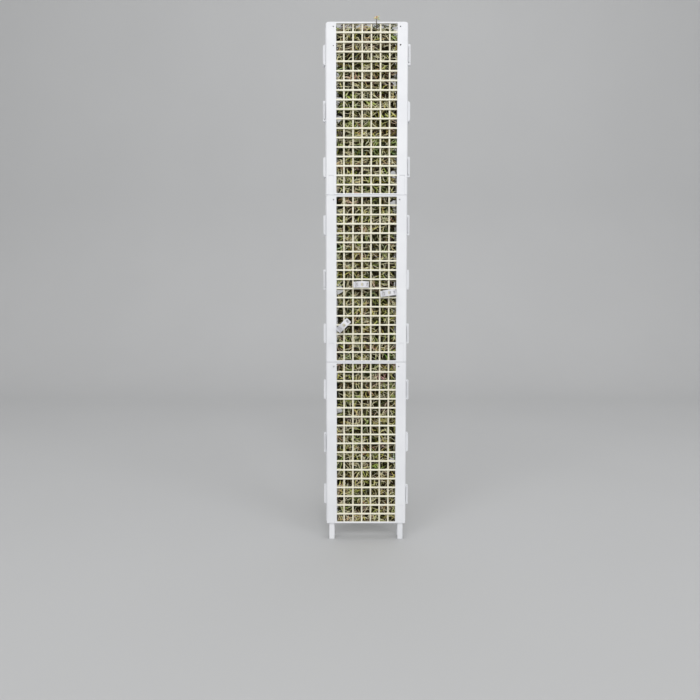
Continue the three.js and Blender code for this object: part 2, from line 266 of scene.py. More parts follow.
def prism(outline: Array, axis: Axis, span: Span, rounds: Span = (0.0, 0.0)) -> Shell:
    """An outline carried straight along an axis, with its two ends rounded over.

    At r (1 - cos a) from an end, the outline is drawn in by r (1 - sin a), with a from 0 to 90
    degrees. A negative round lets the outline out instead, for a cutter that leaves a soft edge.

    Args:
        outline: One row of u and v for each point.
        axis: Direction of the prism.
        span: Where it starts and ends along the axis.
        rounds: Radius at the start and at the end.

    Returns:
        The closed shell.
    """
    turn = np.linspace(0, math.pi / 2, ROUND_STEPS)
    bends = [(radius, turn if radius else turn[-1:]) for radius in rounds]
    first, last = [abs(radius) * (1 - np.cos(bend)) for radius, bend in bends]
    first_in, last_in = [radius * (1 - np.sin(bend)) for radius, bend in bends]
    level = np.concatenate([span[0] + first, (span[1] - last)[::-1]])
    inset = np.concatenate([first_in, last_in[::-1]])
    *flat, way = axis.value
    points = np.empty((1, len(level), len(outline), 3))
    points[..., flat] = outline - inset[:, None, None] * outward(outline)
    points[..., way] = level[:, None]
    return Shell.lofted(points)


def fused(name: str, first: Shell, steps: list[tuple[Fuse, Shell]]) -> Mesh:
    """Joins and cuts shells, in order, into one closed mesh with soft and crisp edges.

    Args:
        name: Name of the mesh.
        first: The shell to start from.
        steps: Each further shell, and whether it is added, cut away or bounds what is kept.

    Returns:
        The mesh, shaded smooth up to the crease angle.
    """
    shells = [first] + [shell for _, shell in steps]
    objects = [bpy.data.objects.new(name, shell.mesh(name)) for shell in shells]
    body, *tools = objects
    for thing in objects:
        bpy.context.scene.collection.objects.link(thing)
    for (how, _), tool in zip(steps, tools):
        modifier = body.modifiers.new(how.name, "BOOLEAN")
        modifier.operation = how.value
        modifier.solver = "MANIFOLD"
        modifier.object = tool
    bpy.context.view_layer.update()
    done = body.evaluated_get(bpy.context.evaluated_depsgraph_get())
    mesh = bpy.data.meshes.new_from_object(done)
    for thing in objects:
        spare = thing.data
        bpy.data.objects.remove(thing)
        bpy.data.meshes.remove(spare)
    mesh.name = name
    mesh.shade_smooth()
    mesh.set_sharp_from_angle(angle=math.radians(CREASE_DEG))
    return mesh


def placement(turn: Array, offset: Array) -> Matrix:
    """The matrix that turns a mesh and then moves it by an offset in millimetres."""
    return Matrix.Translation(offset * MM) @ Matrix(turn.tolist()).to_4x4()


def show(
    mesh: Mesh,
    material: Material,
    body: str,
    node: str | None = None,
    flat_edges: bool = True,
) -> None:
    """Puts a piece into the scene, under its mesh's name and on a CAD body.

    Args:
        mesh: Its shape, in place.
        material: Its finish.
        body: CAD body that it moves with.
        node: CAD node that it stands for, if it stands for one.
        flat_edges: Whether large flat faces keep flat shading up to their rounded edges.
    """
    piece = bpy.data.objects.new(mesh.name, mesh)
    bpy.context.scene.collection.objects.link(piece)
    mesh.materials.clear()
    mesh.materials.append(material)
    if flat_edges:
        piece.modifiers.new("flat_faces", "WEIGHTED_NORMAL").keep_sharp = True
    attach(piece, body)
    if node:
        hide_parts(node)
    log.info("%s stands for %s on %s, %d faces", piece.name, node, body, len(mesh.polygons))


# Finishes


class Signal:
    """A value that varies over a surface, and the maths that can be done on it."""

    def __init__(self, graph: "Graph", socket: bpy.types.NodeSocket) -> None:
        """Keeps the socket and the graph that it belongs to."""
        self.graph, self.socket = graph, socket

    def _math(self, operation: str, first: "Signal | float", second: "Signal | float") -> "Signal":
        """The result of one Math node."""
        return self.graph.add("ShaderNodeMath", {"operation": operation}, {0: first, 1: second})

    def __add__(self, other: "Signal | float") -> "Signal":
        """This value plus another."""
        return self._math("ADD", self, other)

    __radd__ = __add__

    def __sub__(self, other: "Signal | float") -> "Signal":
        """This value less another."""
        return self._math("SUBTRACT", self, other)

    def __rsub__(self, other: "Signal | float") -> "Signal":
        """Another value less this one."""
        return self._math("SUBTRACT", other, self)

    def __mul__(self, other: "Signal | float") -> "Signal":
        """This value times another."""
        return self._math("MULTIPLY", self, other)

    __rmul__ = __mul__

    def __abs__(self) -> "Signal":
        """This value without its sign."""
        return self._math("ABSOLUTE", self, 0.0)

    def between(self, low: float, high: float) -> "Signal":
        """A smooth step from 0 at low to 1 at high."""
        settings = {"interpolation_type": "SMOOTHSTEP", "clamp": True}
        return self.graph.add("ShaderNodeMapRange", settings, {"Value": self, 1: low, 2: high})


class Graph:
    """The node tree of one material."""

    def __init__(self, name: str) -> None:
        """Makes a material with an empty tree.

        Args:
            name: Name of the material.
        """
        self.material = bpy.data.materials.new(name)
        self.material.use_nodes = True
        self.tree = self.material.node_tree
        self.tree.nodes.clear()

    def add(
        self,
        kind: str,
        settings: dict[str, object] | None = None,
        inputs: dict[int | str, object] | None = None,
        output: int | str = 0,
    ) -> Signal:
        """Adds a node.

        Args:
            kind: Type of the node.
            settings: Its own properties, set before its sockets.
            inputs: A value or a signal for each socket that is named or counted.
            output: Name or number of the socket to give back.

        Returns:
            The signal at that output.
        """
        node = self.tree.nodes.new(kind)
        for key, value in (settings or {}).items():
            setattr(node, key, value)
        for key, value in (inputs or {}).items():
            if isinstance(value, Signal):
                self.tree.links.new(value.socket, node.inputs[key])
            else:
                node.inputs[key].default_value = value
        return Signal(self, node.outputs[output] if len(node.outputs) else None)

    def place(self) -> Signal:
        """Position on the object, in metres."""
        return self.add("ShaderNodeTexCoord", output="Object")

    def coordinate(self, axis: str) -> Signal:
        """X, Y or Z on the object, in millimetres."""
        return self.add("ShaderNodeSeparateXYZ", None, {0: self.place()}, axis) * (1 / MM)

    def noise(self, size_mm: float, detail: float = 2.0, roughness: float = 0.5) -> Signal:
        """Noise from 0 to 1 with features of about a given size."""
        inputs = {"Vector": self.place(), "Scale": 1 / (size_mm * MM), "Detail": detail}
        return self.add("ShaderNodeTexNoise", None, inputs | {"Roughness": roughness})

    def mix(
        self,
        share: Signal | float,
        first: Signal | Colour,
        second: Signal | Colour,
        blend: str = "MIX",
    ) -> Signal:
        """A colour made of two.

        Args:
            share: How much of the second to take, from 0 to 1.
            first: The colour where the share is 0.
            second: The colour that is mixed in.
            blend: How it is mixed in.

        Returns:
            The mixed colour.
        """
        colours = [end if isinstance(end, Signal) else (*end, 1.0) for end in (first, second)]
        inputs = {0: share, 6: colours[0], 7: colours[1]}
        return self.add("ShaderNodeMix", {"data_type": "RGBA", "blend_type": blend}, inputs, 2)

    def bump(self, height: Signal, depth_mm: float, strength: float) -> Signal:
        """A normal that follows a height from 0 to 1."""
        inputs = {"Height": height, "Distance": depth_mm * MM, "Strength": strength}
        return self.add("ShaderNodeBump", None, inputs)

    def finish(self, **inputs: object) -> Material:
        """Ends the tree in a Principled surface.

        Args:
            inputs: Values of its sockets, by name with underscores for spaces.

        Returns:
            The material.
        """
        sockets = {key.replace("_", " "): value for key, value in inputs.items()}
        surface = self.add("ShaderNodeBsdfPrincipled", None, sockets)
        self.add("ShaderNodeOutputMaterial", None, {"Surface": surface})
        return self.material


@dataclass(frozen=True)
class PlasticFinish:
    """Moulded plastic: fine grain, faint clouding, a few dirt specks, and a brown tint on surfaces set
    back from the face inside the border, partly dirt and partly painted shade and moss reflection.
    """

    name: str
    base: Colour
    cloud: Colour
    # Brown of the dirt specks, and of the tint on set-back surfaces that is partly painted shade and
    # moss reflection.
    dirt_and_shade: Colour
    roughness: float
    dirt_and_shade_depth: float = 2.4
    dirt_and_shade_amount: float = 0.5
    dirt_and_shade_half: float = 30.5
    face_y: float = 7.65
    cloud_size: float = 26.0
    dirt_and_shade_size: float = 5.0
    wear_size: float = 12.0
    grain_size: float = 0.35
    grain_depth: float = 0.02
    speck_size: float = 0.35
    speck_room: float = 11.0
    speck_patch: float = 9.0
    speck_amount: float = 0.8

    def material(self) -> Material:
        """Builds the node material.

        Returns:
            The material.
        """
        graph = Graph(self.name)
        cloud = graph.noise(self.cloud_size, 3.0).between(0.35, 0.7)
        # Painted shade and moss reflection, partly dirt: a brown tint that grows with depth behind the
        # face, inside the border, in patches.
        depth = self.face_y - abs(graph.coordinate("Y"))
        inside = (self.dirt_and_shade_half - abs(graph.coordinate("X"))).between(0.0, 1.5)
        patch = graph.noise(self.dirt_and_shade_size, 4.0).between(0.25, 0.75)
        dirt_and_shade = depth.between(0.15, self.dirt_and_shade_depth) * inside * patch
        inputs = {"Vector": graph.place(), "Scale": 1 / (self.speck_room * MM)}
        near = graph.add("ShaderNodeTexVoronoi", None, inputs, "Distance")
        limit = self.speck_size / self.speck_room
        spotted = graph.noise(self.speck_patch, 1.0).between(0.5, 0.58)
        speck = (1 - near.between(0.5 * limit, limit)) * spotted
        colour = graph.mix(cloud, self.base, self.cloud)
        colour = graph.mix(dirt_and_shade * self.dirt_and_shade_amount, colour, self.dirt_and_shade)
        colour = graph.mix(speck * self.speck_amount, colour, self.dirt_and_shade)
        wear = graph.noise(self.wear_size, 3.0) - 0.5
        return graph.finish(
            Base_Color=colour,
            Roughness=self.roughness + 0.1 * wear + 0.25 * dirt_and_shade,
            Normal=graph.bump(graph.noise(self.grain_size), self.grain_depth, 0.35),
            Specular_IOR_Level=0.45,
        )


@dataclass(frozen=True)
class StrandFinish:
    """Dry moss: each strand's own colour, mottled along its length, with a fibrous surface."""

    name: str
    mottle: float = 0.5
    mottle_size: float = 1.3
    mottle_shade: Colour = (0.45, 0.42, 0.36)
    fibre_size: float = 0.3
    fibre_depth: float = 0.08
    roughness: float = 0.85

    def material(self) -> Material:
        """Builds the node material.

        Returns:
            The material.
        """
        graph = Graph(self.name)
        tint = graph.add("ShaderNodeAttribute", {"attribute_name": TINT_LAYER}, None, "Color")
        patch = graph.noise(self.mottle_size, 3.0, 0.6).between(0.3, 0.75)
        dark = graph.mix(1.0, tint, self.mottle_shade, "MULTIPLY")
        return graph.finish(
            Base_Color=graph.mix(patch * self.mottle, tint, dark),
            Roughness=self.roughness + 0.12 * (patch - 0.5),
            Normal=graph.bump(graph.noise(self.fibre_size, 3.0), self.fibre_depth, 0.6),
            Specular_IOR_Level=0.2,
        )


@dataclass(frozen=True)
class MatFinish:
    """The dark, crumbly inside of the moss, painted nearly black so that it also stands in for the shade
    deep among the strands.
    """

    name: str
    # Nearly black: the moss's own dark core together with painted shade deep in the moss.
    deep_shade: Colour
    crumb: Colour
    leaf: Colour
    crumb_size: float = 1.6
    crumb_depth: float = 0.5
    leaf_size: float = 6.0
    leaf_amount: float = 0.7

    def material(self) -> Material:
        """Builds the node material.

        Returns:
            The material.
        """
        graph = Graph(self.name)
        crumbs = graph.noise(self.crumb_size, 5.0, 0.65)
        leaves = graph.noise(self.leaf_size, 3.0).between(0.55, 0.75)
        colour = graph.mix(crumbs.between(0.45, 0.7), self.deep_shade, self.crumb)
        return graph.finish(
            Base_Color=graph.mix(leaves * self.leaf_amount, colour, self.leaf),
            Roughness=0.9 + 0.08 * crumbs,
            Normal=graph.bump(crumbs, self.crumb_depth, 0.9),
            Specular_IOR_Level=0.15,
        )


@dataclass(frozen=True)
class FloorFinish:
    """Plain pale studio surface."""

    name: str
    base: Colour
    cloud: Colour
    cloud_size: float = 320.0

    def material(self) -> Material:
        """Builds the node material.

        Returns:
            The material.
        """
        graph = Graph(self.name)
        colour = graph.mix(graph.noise(self.cloud_size), self.base, self.cloud)
        return graph.finish(Base_Color=colour, Roughness=0.8)


# Moulded halves


@dataclass
class Stack:
    """Sizes that the pieces share, in millimetres."""

    modules: tuple[str, ...] = ("bottom", "middle", "top")
    module_height: float = 160.0
    seam_gap: float = 0.3
    tongue_length: float = 17.0
    face_y: float = -7.65
    parting_y: float = -0.15
    face_half: float = 39.2
    border: float = 10.38
    rim: float = 1.5
    face_thickness: float = 2.0
    columns: int = 7
    rows: int = 18
    bar: float = 1.55
    edge_lap: float = 0.73

    @property
    def grid_half(self) -> float:
        """Half the width of the window."""
        return self.face_half - self.border

    @property
    def back_y(self) -> float:
        """Back of the face."""
        return self.face_y + self.face_thickness

    @property
    def layer_y(self) -> float:
        """Where the outer bars lie on the inner ones."""
        return self.face_y + self.face_thickness / 2

    @property
    def past_ends(self) -> Span:
        """A span that runs past both ends of a module."""
        return (-1.0, self.module_height + 1.0)

    @property
    def bar_x(self) -> Array:
        """Middles of the vertical bars: the borders lap over the outer columns of holes."""
        edge = self.grid_half + self.edge_lap
        return self.bar_middles(self.columns, -edge, edge)

    @property
    def bar_z(self) -> Array:
        """Middles of the horizontal bars, from the lower end of a module."""
        return self.bar_middles(self.rows, self.rim, self.module_height - self.rim)

    def bar_middles(self, count: int, low: float, high: float) -> Array:
        """Middles of the bars between a number of equal holes, from one edge to the other."""
        pitch = (high - low + self.bar) / count
        return low + pitch * np.arange(1, count) - self.bar / 2

    def base(self, module: str) -> Array:
        """Where the lower end of a module is."""
        place = self.modules.index(module)
        return np.array([0, 0, self.tongue_length + place * (self.module_height + self.seam_gap)])

    def dress_halves(
        self, meshes: list[Mesh], finish: PlasticFinish, piece: str, node: str, slot: str
    ) -> None:
        """Puts a copy of a moulding into the front and the back half of each module.

        Args:
            meshes: The moulding of each module, as a front half with its lower end at zero.
            finish: What it is made of.
            piece: Last words of the pieces' names.
            node: Last word of the names of the CAD nodes that they stand for.
            slot: Not used.
        """
        material = finish.material()
        for module, mesh in zip(self.modules, meshes):
            for face in Face:
                body = f"{module}_{face.word}"
                copy = mesh.copy()
                copy.name = f"{body}_{piece}"
                copy.transform(placement(face.matrix, self.base(module)))
                show(copy, material, body, f"{body}_{node}")


@dataclass
class HalfFrame:
    """Frame of a half: a shallow tray with a window, side latches, tongues and pockets."""

    stack: Stack
    draft: float = 0.3
    wall: float = 1.2
    edge_round: float = 1.3
    crisp: float = 0.05
    corner: float = 0.8
    top_corner: float = 4.0
    flange_half: float = 39.6
    flange_thickness: float = 1.5
    latch_root: float = 38.6
    latch_half: float = 41.8
    latch_pitch: float = 52.5
    latch_length: float = 19.6
    latch_edges: Span = (0.4, 0.1)
    ear_depth: float = 1.8
    ear_round: float = 2.6
    loop_depth: float = 2.2
    loop_round: float = 0.7
    slot_width: float = 1.4
    slot_length: float = 15.4
    blade_span: Span = (39.75, 40.65)
    blade_length: float = 15.0
    blade_root: float = 0.6
    blade_bead: float = 0.2
    blade_tip: float = 3.55
    tongue_span: Span = (31.25, 36.45)
    tongue_y: Span = (-5.4, -4.0)
    tongue_root: float = 18.5
    tongue_lead: float = 0.45
    pocket_rib: Span = (30.0, 31.0)
    pocket_y: Span = (-3.75, -2.75)
    pocket_length: float = 17.5
    pocket_drop: float = 1.2
    sunk: float = 0.4
    snap_hole: Span = (31.6, 155.7)
    snap_radius: float = 0.65
    recess_depth: float = 0.5
    window_round: float = 0.5
    window_edge: float = 0.35
    lap: float = 0.75
    soft: float = 0.3

    @property
    def inner_half(self) -> float:
        """Half the width inside the tray, at its face."""
        return self.stack.face_half - self.wall - self.draft

    def block(self) -> Shell:
        """The tray before it is hollowed: a section with round long edges, carried past both ends.

        Returns:
            The solid block.
        """
        stack = self.stack
        span = (stack.face_y, stack.parting_y)
        corners = trapezoid(stack.face_half - self.draft, stack.face_half, span)
        radii = [self.edge_round, self.edge_round, self.crisp, self.crisp]
        return prism(rounded(corners, radii, 6), Axis.Z, stack.past_ends)

    def cavity(self) -> Shell:
        """The hollow of the tray, open at both ends and at the back.

        Returns:
            The cutter.
        """
        stack = self.stack
        span = (stack.back_y, stack.parting_y + 0.5)
        corners = trapezoid(self.inner_half, stack.face_half - self.wall, span)
        return prism(rounded(corners, 0.4), Axis.Z, stack.past_ends)

    def flange(self) -> Shell:
        """The plate that leaves a narrow flange along both sides once the tray is hollowed.

        Returns:
            The plate, past both ends.
        """
        parting = self.stack.parting_y
        outline = rectangle(centred(2 * self.flange_half), self.stack.past_ends)
        return prism(outline, Axis.Y, (parting - self.flange_thickness, parting), (0.15, 0.1))

    def bounds(self, top: bool) -> Shell:
        """Outline of the half from the front.

        Args:
            top: Whether it is a half of the top module, whose upper corners are rounder.

        Returns:
            The block that bounds the half.
        """
        stack, margin = self.stack, 0.02
        upper = self.top_corner if top else self.corner
        corners = rectangle(centred(2 * (self.flange_half + margin)), (0, stack.module_height))
        outline = rounded(corners, [self.corner, self.corner, upper, upper], 8)
        return prism(outline, Axis.Y, (stack.face_y - margin, stack.parting_y + 1), (self.soft, 0))

    def at_latches(self, shell: Shell, side: int) -> Shell:
        """Copies of a shell, one for each pair of latches.

        Args:
            shell: Its shape on the right, at a height of zero.
            side: 1 where it goes with the ears and blades, -1 where it goes with the loops.

        Returns:
            All the copies as one shell.
        """
        places = np.array([-1, 0, 1])
        sides = side * np.where(places == 0, 1, -1)
        heights = self.stack.module_height / 2 + places * self.latch_pitch
        turns = np.array([np.diag([way, 1, 1]) for way in sides])
        return shell.spread(turns, np.outer(heights, [0, 0, 1]))

    def latches(self) -> Shell:
        """Ears with rounded outer corners, and loops before their slots are cut.

        Returns:
            The plates of all the latches.
        """
        parting = self.stack.parting_y
        corners = rectangle((self.latch_root, self.latch_half), centred(self.latch_length))
        ear, loop = (self.ear_depth, self.ear_round), (self.loop_depth, self.loop_round)
        shells = []
        for side, (depth, radius) in ((1, ear), (-1, loop)):
            outline = rounded(corners, [0.1, radius, radius, 0.1])
            plate = prism(outline, Axis.Y, (parting - depth, parting), self.latch_edges)
            shells.append(self.at_latches(plate, side))
        return Shell.joined(shells)

    def slots(self) -> Shell:
        """The slots through the loops.

        Returns:
            The cutters.
        """
        parting, near = self.stack.parting_y, self.flange_half
        corners = rectangle((near, near + self.slot_width), centred(self.slot_length))
        span = (parting - self.loop_depth - 1, parting + 1)
        return self.at_latches(prism(rounded(corners, 0.4), Axis.Y, span), -1)

    def blades(self) -> Shell:
        """The blades, each with a bead near its tip, that reach into the other half's loops.

        Returns:
            All the blades.
        """
        (near, far), bead, tip = self.blade_span, self.blade_bead, self.blade_tip
        root = self.stack.parting_y - self.blade_root
        corners = np.array([
            [near, root], [far, root], [far, tip - 1.0], [far + bead, tip - 0.85],
            [far + bead, tip - 0.5], [far - bead, tip], [near, tip],
        ])
        blade = prism(rounded(corners, 0.08, 2), Axis.Z, centred(self.blade_length), (0.2, 0.2))
        return self.at_latches(blade, 1)

    def tongues(self) -> Shell:
        """Tongues that start on the back of the border and leave the lower end.

        Returns:
            Both tongues.
        """
        (front, back), lead = self.tongue_y, self.tongue_lead
        face, tip = self.stack.back_y - self.sunk, -self.stack.tongue_length
        corners = np.array([
            [face, 0.3], [front, 0.3], [front, lead + tip], [front + lead, tip], [back - lead, tip],
            [back, lead + tip], [back, self.tongue_root - 1.4], [face, self.tongue_root],
        ])
        outline = rounded(corners, 0.12, 2)
        return prism(outline, Axis.X, self.tongue_span, (self.soft, self.soft)).spread(BOTH_SIDES)

    def pockets(self) -> Shell:
        """A rib and a back wall on each side, which take the tongue of the half above.

        Returns:
            Both pockets.
        """
        (inner, outer), (near, far) = self.pocket_rib, self.pocket_y
        wall, face = self.inner_half + 0.5, self.stack.back_y - self.sunk
        corners = np.array([
            [inner, face], [outer, face], [outer, near], [wall, near], [wall, far], [inner, far],
        ])
        top = self.stack.module_height
        span = (top - self.pocket_length, top - self.pocket_drop)
        return prism(rounded(corners, 0.15, 2), Axis.Z, span, (0.15, 0.15)).spread(BOTH_SIDES)

    def recesses(self) -> Shell:
        """Shallow reliefs in the border, in front of the tongues' roots.

        Returns:
            The cutters.
        """
        face = self.stack.face_y
        outline = rounded(rectangle(self.tongue_span, (-1.5, self.tongue_root)), 0.5)
        span = (face - 0.4, face + self.recess_depth)
        return prism(outline, Axis.Y, span, (0, 0.2)).spread(BOTH_SIDES)

    def snap_holes(self) -> Shell:
        """Small round holes through the border into the pockets.

        Returns:
            The cutters, which leave a soft edge.
        """
        turn = np.linspace(0, 2 * math.pi, 20, endpoint=False)
        ring = np.stack([np.cos(turn), np.sin(turn)], axis=1) * self.snap_radius
        span = (self.stack.face_y - 0.02, self.stack.back_y + 0.3)
        return prism(ring + self.snap_hole, Axis.Y, span, (-0.12, 0)).spread(BOTH_SIDES)

    def window(self, margin: float, start: float, edge: float) -> Shell:
        """A cutter over the grid's outline, out through the back of the face.

        Args:
            margin: How far it reaches over each end of the grid.
            start: Where it starts along Y.
            edge: Round of its front, which is negative to leave a soft edge.

        Returns:
            The cutter.
        """
        stack = self.stack
        z_span = (stack.rim - margin, stack.module_height - stack.rim + margin)
        outline = rounded(rectangle(centred(2 * stack.grid_half), z_span), self.window_round)
        return prism(outline, Axis.Y, (start, stack.back_y + 1), (edge, 0))

    def build(self, top: bool) -> Mesh:
        """One frame, as a front half with its lower end at zero.

        Args:
            top: Whether it is a half of the top module.

        Returns:
            The frame's mesh.
        """
        stack = self.stack
        return fused("half_frame", self.block(), [
            (Fuse.ADD, self.flange()),
            (Fuse.KEEP, self.bounds(top)),
            (Fuse.ADD, self.latches()),
            (Fuse.CUT, self.cavity()),
            (Fuse.CUT, self.slots()),
            (Fuse.CUT, self.window(0, stack.face_y - 0.01, -self.window_edge)),
            (Fuse.CUT, self.window(self.lap, stack.layer_y - 0.15, 0)),
            (Fuse.CUT, self.recesses()),
            (Fuse.CUT, self.snap_holes()),
            (Fuse.ADD, self.pockets()),
            (Fuse.ADD, self.tongues()),
            (Fuse.ADD, self.blades()),
        ])

    def dress(self, finish: PlasticFinish) -> None:
        """Builds a plain frame and a top one, and puts them into the halves."""
        meshes = [self.build(False)] * (len(self.stack.modules) - 1) + [self.build(True)]
        self.stack.dress_halves(meshes, finish, "frame_shell", "frame", "white_plastic")


@dataclass
class GridPanel:
    """Grid of a half: vertical bars between two end strips, with horizontal bars in front of them."""

    stack: Stack
    bar_round: float = 0.32
    back_round: float = 0.2
    bite: float = 0.15
    lap: float = 0.6

    def verticals(self) -> Shell:
        """Bars of the inner layer.

        Returns:
            All the vertical bars.
        """
        stack, reach = self.stack, self.lap / 2 - self.stack.rim
        corners = rectangle(centred(stack.bar), (stack.layer_y - self.bite, stack.back_y))
        radii = [self.bar_round, self.bar_round, self.back_round, self.back_round]
        bar = prism(rounded(corners, radii), Axis.Z, (-reach, stack.module_height + reach))
        return bar.spread(offsets=np.outer(stack.bar_x, [1, 0, 0]))

    def horizontals(self) -> Shell:
        """Bars of the outer layer, from border to border.

        Returns:
            All the horizontal bars.
        """
        stack = self.stack
        corners = rectangle((stack.face_y, stack.layer_y + self.bite), centred(stack.bar))
        radii = [self.bar_round, self.back_round, self.back_round, self.bar_round]
        bar = prism(rounded(corners, radii), Axis.X, centred(2 * (stack.grid_half + 0.05)))
        return bar.spread(offsets=np.outer(stack.bar_z, [0, 0, 1]))

    def strips(self) -> Shell:
        """The two end strips, which lie behind the rims.

        Returns:
            Both strips.
        """
        stack, reach = self.stack, centred(2 * (self.stack.grid_half - 0.15))
        outline = rounded(rectangle((stack.layer_y, stack.back_y), (-self.lap, 0)), 0.12, 2)
        heights = [stack.rim, stack.module_height - stack.rim + self.lap]
        return prism(outline, Axis.X, reach).spread(offsets=np.outer(heights, [0, 0, 1]))

    def dress(self, finish: PlasticFinish) -> None:
        """Builds the panel once and puts it into all the halves.

        Args:
            finish: What it is made of.
        """
        steps = [(Fuse.ADD, self.strips()), (Fuse.ADD, self.horizontals())]
        meshes = [fused("grid_panel", self.verticals(), steps)] * len(self.stack.modules)
        self.stack.dress_halves(meshes, finish, "grid_bars", "grid", "grid_plastic")


# Ring clips


@dataclass
class RingClip:
    """A ring clip in two halves: a hook round a bar, and a gate with windows that swings open."""

    stack: Stack
    name: str
    column: int
    row: int
    turn: float = 0.0
    crossing: bool = False
    radius: float = 6.89
    wall: float = 1.5
    hook_height: float = 4.6
    gate_height: float = 6.0
    windows: int = 3
    window_size: Span = (2.6, 2.8)
    window_round: float = 0.6
    tab: float = 1.5
    tab_round: float = 1.2
    tab_thickness: float = 0.9
    split: float = 0.3
    front_clearance: float = 1.35
    bar_clearance: float = 0.3
    soft: float = 0.35

    @property
    def matrix(self) -> Array:
        """Turn of the clip about Y, which is given in degrees."""
        return Axis.Y.turn(-self.turn)

    @property
    def centre(self) -> Array:
        """Middle of the ring: round a crossing, or on top of a bar that it hangs on.

        Returns:
            X, Y and Z in the middle module.
        """
        stack = self.stack
        z = stack.bar_z[self.row - 1]
        if not self.crossing:
            across, along = np.abs(self.matrix[2, [0, 2]])
            z += stack.bar / 2 + self.bar_clearance + along * self.hook_height / 2 + across * self.radius
        place = [stack.bar_x[self.column - 1], stack.face_y - self.front_clearance, z]
        return stack.base("middle") + place

    def band(self, side: int, height: float) -> Shell:
        """Half of the ring: an outer and an inner half circle, carried along Z.

        Args:
            side: 1 for the hook at the back, -1 for the gate at the front.
            height: Its size along Z.

        Returns:
            The band.
        """
        bend = np.linspace(0, math.pi, 25)
        outer = np.stack([np.cos(bend), np.sin(bend)], axis=1) * self.radius
        inner = (outer * (1 - self.wall / self.radius))[::-1]
        outline = (np.vstack([outer, inner]) + [0, self.split / 2]) * [1, side]
        return prism(outline, Axis.Z, centred(height), (self.soft, self.soft))

    def finger_tab(self, side: int, height: float) -> Shell:
        """A tab beside the split, with rounded outer corners.

        Args:
            side: 1 for the hook's tab, -1 for the gate's.
            height: Its size along Z.

        Returns:
            The tab.
        """
        reach = (self.radius - self.wall / 2, self.radius + self.tab)
        radii = [0.1, self.tab_round, self.tab_round, 0.1]
        outline = rounded(rectangle(reach, centred(height)), radii) * [-1, 1]
        near = side * self.split / 2
        low, high = sorted((near, near + side * self.tab_thickness))
        return prism(outline, Axis.Y, (low, high), (0.2, 0.2))

    def window_cutters(self) -> Shell:
        """Blocks that cut the windows round the gate's band.

        Returns:
            The cutters, evenly round the half circle.
        """
        width, height = self.window_size
        outline = rounded(rectangle(centred(width), centred(height)), self.window_round)
        block = prism(outline, Axis.X, (self.radius - 2 * self.wall, self.radius + 1))
        angles = np.linspace(0, -180, self.windows + 2)[1:-1]
        return block.spread(np.array([Axis.Z.turn(angle) for angle in angles]))

    def dress(self, material: Material) -> None:
        """Builds the hook and the gate, and puts both into the scene.

        Args:
            material: What the clip is made of.
        """
        hook = [(Fuse.ADD, self.finger_tab(1, self.hook_height))]
        gate = [(Fuse.CUT, self.window_cutters()), (Fuse.ADD, self.finger_tab(-1, self.gate_height))]
        for node, piece, body, band, steps in (
            ("hook", "hook_band", "middle_front", self.band(1, self.hook_height), hook),
            ("gate", "gate_cage", f"{self.name}_gate", self.band(-1, self.gate_height), gate),
        ):
            mesh = fused(f"{self.name}_{piece}", band, steps)
            mesh.transform(placement(self.matrix, self.centre))
            show(mesh, material, body, f"{self.name}_{node}")


# Moss


class StrandKind(Enum):
    """Strands of the moss: share, lengths, radii and depths below the grid, in millimetres."""

    STEM = (0.58, (6.0, 15.0), (0.27, 0.42), (0.0, 1.1))
    FROND = (0.30, (5.0, 10.0), (0.38, 0.60), (0.2, 2.0))
    CRUMB = (0.12, (2.0, 4.0), (0.50, 0.75), (0.3, 2.0))


class Tint(Enum):
    """Colours of dry moss, with how common each is in stems, fronds and crumbs."""

    STRAW = ((0.72, 0.68, 0.41), (1.4, 0.5, -0.6))
    BLUSH = ((0.64, 0.53, 0.36), (0.8, 0.3, 0.0))
    TAN = ((0.46, 0.42, 0.19), (1.0, 0.9, 0.2))
    OLIVE = ((0.34, 0.34, 0.09), (0.7, 1.2, 0.5))
    GREEN = ((0.36, 0.38, 0.11), (0.3, 0.6, -0.2))
    BROWN = ((0.13, 0.10, 0.022), (0.1, 0.4, 1.2))
    RUST = ((0.24, 0.14, 0.07), (-0.3, -0.1, 0.2))
    GREY = ((0.50, 0.52, 0.38), (0.5, 0.2, 0.0))


@dataclass(frozen=True)
class Bed:
    """One side of the moss: its two directions and the way out, its size, and its strands."""

    axes: Array
    half: Span
    top: float
    count: int


def ripple(rng: np.random.Generator, points: Array, wavelength: float, terms: int = 9) -> Array:
    """A smooth random field: a sum of sine waves with random directions and phases.

    Args:
        rng: Source of the directions and phases.
        points: Positions, with X, Y and Z last.
        wavelength: Typical length of the waves.
        terms: Number of waves.

    Returns:
        One value for each point, mostly between -1 and 1.
    """
    ways = rng.normal(size=(terms, 3))
    pace = 2 * math.pi / wavelength * rng.uniform(0.7, 1.4, terms)
    ways *= (pace / np.linalg.norm(ways, axis=1))[:, None]
    phases = rng.uniform(0, 2 * math.pi, terms)
    return np.sin(points @ ways.T + phases).sum(-1) * math.sqrt(1 / terms)


def tubes(paths: Array, radii: Array, flat: Array, up: Array, sides: int = 4) -> Shell:
    """Closed tubes along paths: rings of radius r round each point, flattened along the way up.

    Args:
        paths: Points of each path, as paths by points by X, Y and Z.
        radii: Radius at each point.
        flat: Thickness of each tube as a share of its width.
        up: Direction across the paths that is flattened.
        sides: Sides of a tube.

    Returns:
        All the tubes as one shell.
    """
    ahead = unit(np.gradient(paths, axis=1))
    across = unit(np.cross(ahead, up))
    over = np.cross(across, ahead) * flat[:, None, None]
    turn = 2 * math.pi * (np.arange(sides) + 0.5) / sides
    ring = np.cos(turn)[:, None] * across[:, :, None] + np.sin(turn)[:, None] * over[:, :, None]
    return Shell.lofted(paths[:, :, None] + radii[:, :, None, None] * ring)


